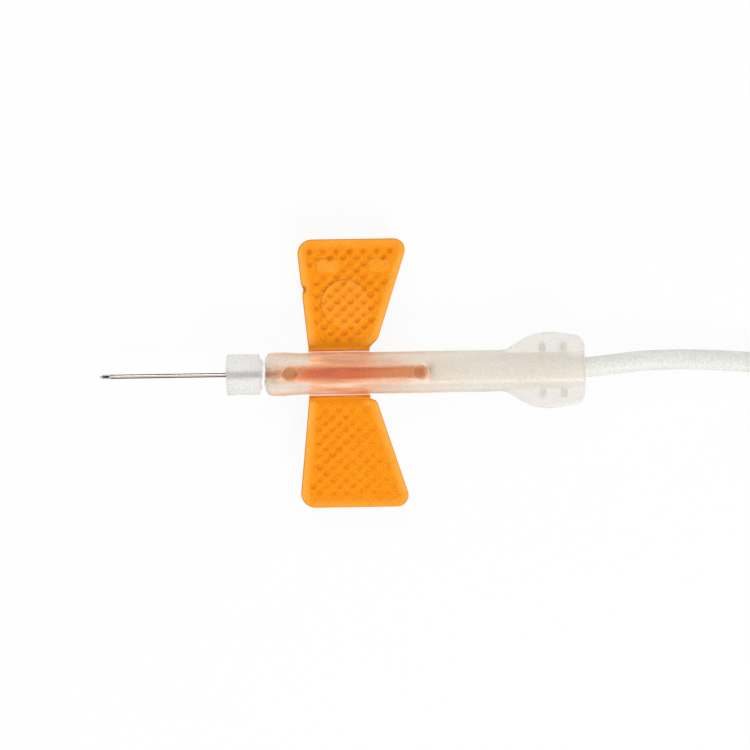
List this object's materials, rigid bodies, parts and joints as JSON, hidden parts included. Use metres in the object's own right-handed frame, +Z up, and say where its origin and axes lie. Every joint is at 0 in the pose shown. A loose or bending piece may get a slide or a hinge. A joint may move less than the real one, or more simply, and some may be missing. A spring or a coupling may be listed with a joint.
{
  "type": "butterfly needle",
  "caption": "Winged infusion needle: steel needle in a coloured hub with folding finger wings, a clear guard that slides forward over it, and a coiled soft tube with a luer connector.",
  "frame": {"origin": "on the surface that the guard rests on, under the middle of the length from the needle's point to the guard's rear", "axes": "+X from the needle's point to the tube, +Y across to the wing with the raised ring, +Z up"},
  "size_m": [0.1185, 0.0467, 0.0066],
  "materials": {
    "needle_steel": "bright drawn steel",
    "orange_plastic": "soft satin moulding with a dimpled grip",
    "clear_plastic": "milky translucent satin",
    "tube_plastic": "soft clear tubing",
    "connector_plastic": "clear moulding"
  },
  "bodies": {
    "hub": {"wing_hub": "orange_plastic", "needle_cannula": "needle_steel", "tube": "tube_plastic", "tube_coil": "tube_plastic", "tube_tail": "tube_plastic", "luer_connector": "connector_plastic"},
    "guard": {"guard_sleeve": "clear_plastic", "guard_nose": "clear_plastic"},
    "wing_left": {"wing_left": "orange_plastic"},
    "wing_right": {"wing_right": "orange_plastic"}
  },
  "joints": [
    {"name": "guard_slide", "type": "slide", "parent": "hub", "child": "guard", "axis": [-1, 0, 0], "range_m": [0, 0.0154]},
    {"name": "wing_left_fold", "type": "hinge", "parent": "hub", "child": "wing_left", "pos_m": [0, -0.003, 0.0026], "axis": [-1, 0, 0], "range_deg": [0, 80], "stiffness_Nm_per_rad": 0.0002},
    {"name": "wing_right_fold", "type": "hinge", "parent": "hub", "child": "wing_right", "pos_m": [0, 0.003, 0.0026], "axis": [1, 0, 0], "range_deg": [0, 80], "stiffness_Nm_per_rad": 0.0002}
  ]
}
